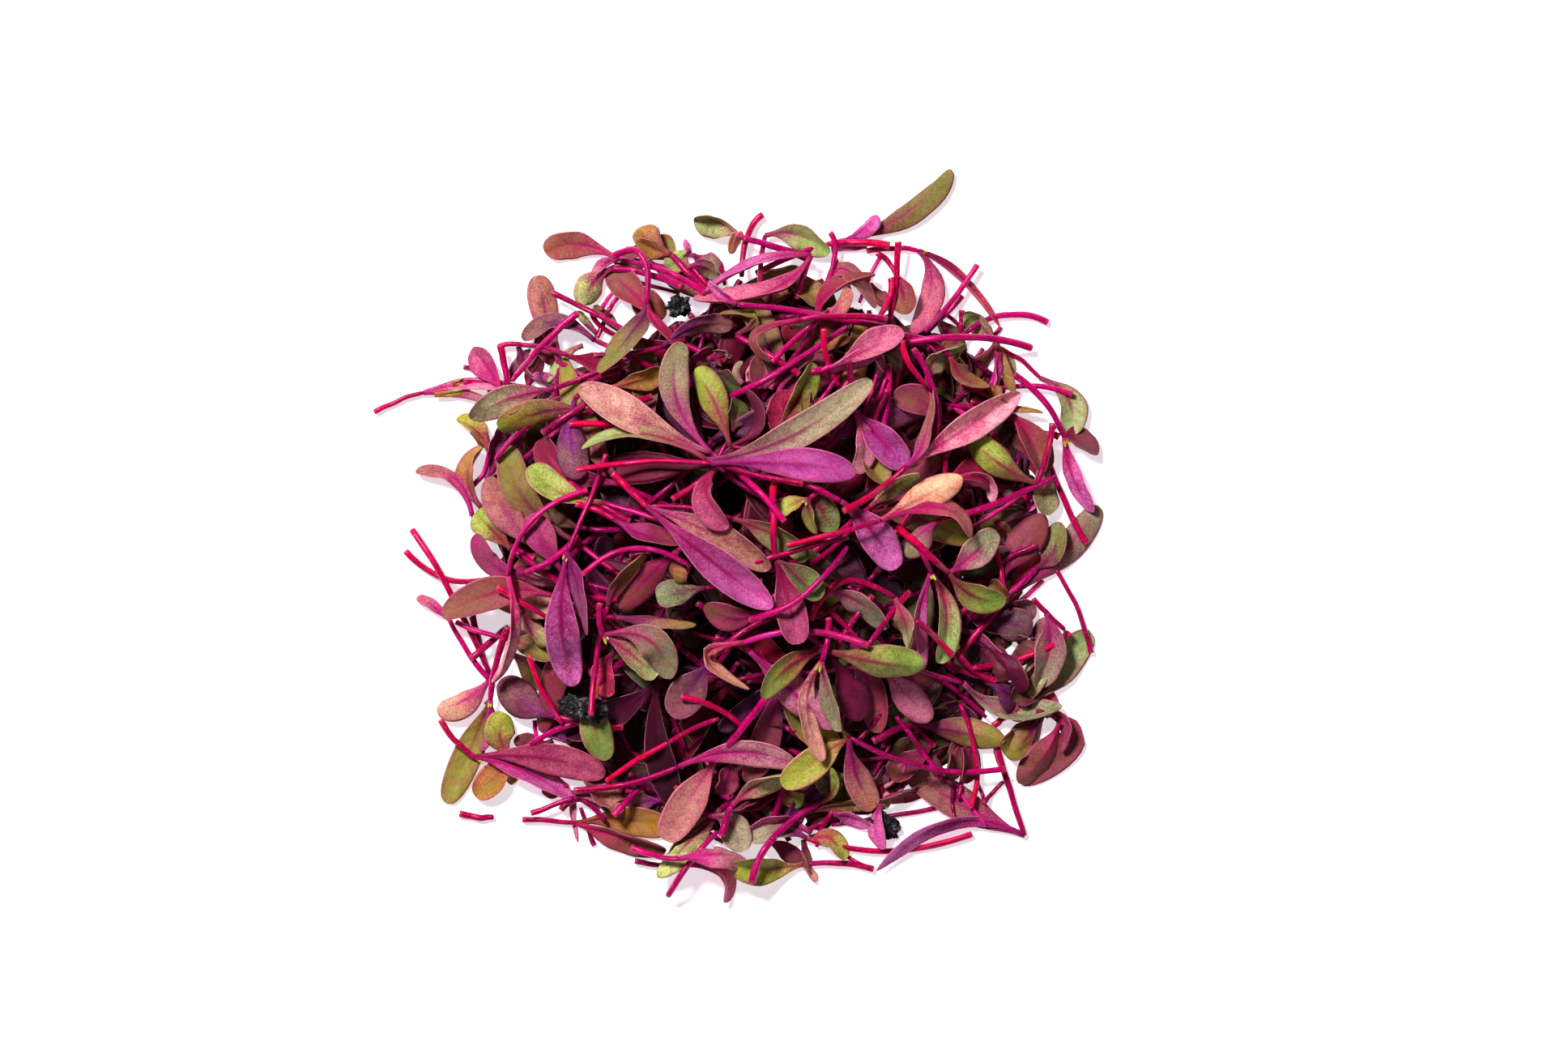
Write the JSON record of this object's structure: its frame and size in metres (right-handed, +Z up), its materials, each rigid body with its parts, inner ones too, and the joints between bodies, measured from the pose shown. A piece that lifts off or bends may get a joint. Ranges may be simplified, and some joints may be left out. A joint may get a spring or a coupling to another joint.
{
  "type": "beet microgreens, a loose cut heap",
  "caption": "Loose heap of cut beet microgreens: thin magenta stems with paired narrow seed leaves in violet, rose, olive and lime.",
  "frame": {"origin": "on the table, under the middle of the heap's box", "axes": "+Z up; +Y is the top of the picture, +X its right"},
  "size_m": [0.1, 0.101, 0.0196],
  "materials": {
    "leaf_violet": "soft matte leaf, violet to pink with a magenta midrib",
    "leaf_plum": "soft matte leaf, dark plum to bronze",
    "leaf_rose": "soft matte leaf, rose, tan and salmon",
    "leaf_olive": "soft matte leaf, olive to sage with a reddish bloom",
    "leaf_green": "soft matte leaf, lime green with a pinkish rim",
    "stem_red": "moist, slightly glossy crimson stem",
    "seed_hull": "dry, crumpled, near black"
  },
  "bodies": {
    "root": {"sprouts_01": "leaf_plum", "sprouts_02": "leaf_plum", "sprouts_03": "leaf_olive", "sprouts_04": "leaf_plum", "sprouts_05": "leaf_olive", "sprouts_06": "leaf_plum", "sprouts_07": "leaf_olive", "sprouts_08": "leaf_violet", "sprouts_09": "leaf_rose", "sprouts_10": "leaf_rose", "sprouts_11": "leaf_rose", "seed_hull_01": "seed_hull", "seed_hull_02": "seed_hull", "stem_offcut": "stem_red", "sprouts_12": "leaf_green", "sprouts_13": "leaf_olive", "sprouts_14": "leaf_olive", "sprouts_15": "leaf_plum", "sprouts_16": "leaf_plum", "sprouts_17": "leaf_plum", "sprouts_18": "leaf_olive", "sprouts_19": "stem_red", "sprouts_20": "leaf_olive", "sprouts_21": "leaf_rose", "sprouts_22": "leaf_plum", "sprouts_23": "leaf_plum", "sprouts_24": "leaf_green", "sprouts_25": "leaf_olive", "sprouts_26": "leaf_violet", "sprouts_27": "leaf_green", "seed_hull_03": "seed_hull", "sprouts_28": "leaf_olive", "sprouts_29": "leaf_green", "sprouts_30": "stem_red", "sprouts_31": "stem_red", "sprouts_32": "leaf_olive", "sprouts_33": "leaf_green", "sprouts_34": "leaf_rose", "sprouts_35": "leaf_rose", "sprouts_36": "leaf_green", "sprouts_37": "stem_red", "sprouts_38": "leaf_olive", "sprouts_39": "leaf_olive", "sprouts_40": "leaf_green", "sprouts_41": "leaf_olive", "sprouts_42": "leaf_olive", "sprouts_43": "stem_red", "sprouts_44": "stem_red", "sprouts_45": "leaf_green", "sprouts_46": "leaf_rose", "sprouts_47": "leaf_olive", "sprouts_48": "leaf_violet"}
  },
  "joints": []
}
